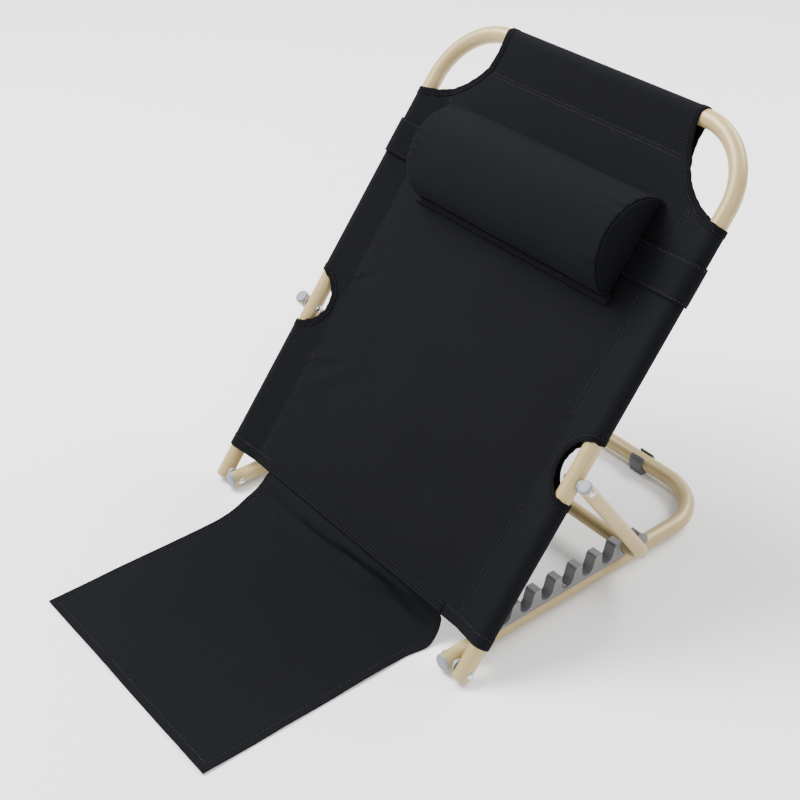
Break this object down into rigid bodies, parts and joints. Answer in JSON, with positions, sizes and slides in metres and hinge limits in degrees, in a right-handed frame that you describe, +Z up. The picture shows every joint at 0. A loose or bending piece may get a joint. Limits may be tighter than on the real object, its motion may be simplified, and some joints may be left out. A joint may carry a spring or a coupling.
{
  "type": "folding bed backrest",
  "caption": "Legless folding backrest: cloth sling on a tube frame with a floor seat flap, a head pillow on a strap, and a prop that drops into a toothed rack to set the angle.",
  "frame": {"origin": "on the floor, under the middle of the whole outline", "axes": "+X across to the sitter's left, +Y from the seat flap to the rear of the base, +Z up"},
  "size_m": [0.4974, 0.692, 0.5017],
  "materials": {
    "frame_paint": "satin champagne powder coat",
    "cap_plastic": "light blue-grey moulded plastic",
    "foot_plastic": "tan moulded plastic",
    "rack_plastic": "mid grey moulded plastic",
    "glide_plastic": "dark grey moulded plastic",
    "washer_plastic": "grey nylon",
    "rivet_steel": "bright zinc plate",
    "cloth": "charcoal canvas weave",
    "tape": "charcoal binding tape",
    "pillow_cloth": "charcoal canvas, softer nap",
    "strap_web": "charcoal flat strap",
    "foam": "white foam"
  },
  "bodies": {
    "base": {"base_frame": "frame_paint", "base_end_cap_left": "cap_plastic", "base_end_cap_right": "cap_plastic", "rack_left": "rack_plastic", "rack_right": "rack_plastic", "rack_rivets": "rivet_steel", "glide_left": "glide_plastic", "glide_right": "glide_plastic", "seat_flap": "cloth"},
    "front_pivots": {"front_pivot_rivets": "rivet_steel", "front_pivot_washers": "washer_plastic"},
    "back": {"back_frame": "frame_paint", "back_foot_cap_left": "foot_plastic", "back_foot_cap_right": "foot_plastic", "sling": "cloth", "sling_hem": "cloth", "cutout_tapes": "tape", "lower_sleeve_back_left": "cloth", "lower_sleeve_back_right": "cloth", "upper_sleeve_back_left": "cloth", "upper_sleeve_back_right": "cloth", "top_sleeve_back": "cloth", "prop_pivot_rivets": "rivet_steel", "prop_pivot_washers": "washer_plastic"},
    "prop": {"prop_frame": "frame_paint", "prop_end_cap_left": "cap_plastic", "prop_end_cap_right": "cap_plastic"},
    "pillow": {"pillow_cover": "pillow_cloth", "pillow_core": "foam", "pillow_strap": "strap_web"}
  },
  "joints": [
    {"name": "back_fold", "type": "hinge", "parent": "base", "child": "front_pivots", "pos_m": [0, -0.07045, 0.0135], "axis": [1, 0, 0], "range_deg": [-30.5, 0], "deforming": ["lower_sleeve_back_left", "lower_sleeve_back_right"]},
    {"name": "back_raise", "type": "hinge", "parent": "front_pivots", "child": "back", "pos_m": [0, -0.07045, 0.0135], "axis": [1, 0, 0], "range_deg": [0, 21]},
    {"name": "prop_swing", "type": "hinge", "parent": "back", "child": "prop", "pos_m": [0, 0.0677, 0.1916], "axis": [1, 0, 0], "range_deg": [0, 67.6]},
    {"name": "pillow_slide", "type": "slide", "parent": "back", "child": "pillow", "axis": [0, 0.6129, 0.7902], "range_m": [-0.155, 0.035]}
  ],
  "couplings": [
    {"joint": "prop_swing", "follows": "back_fold", "ratio": -2.2}
  ]
}
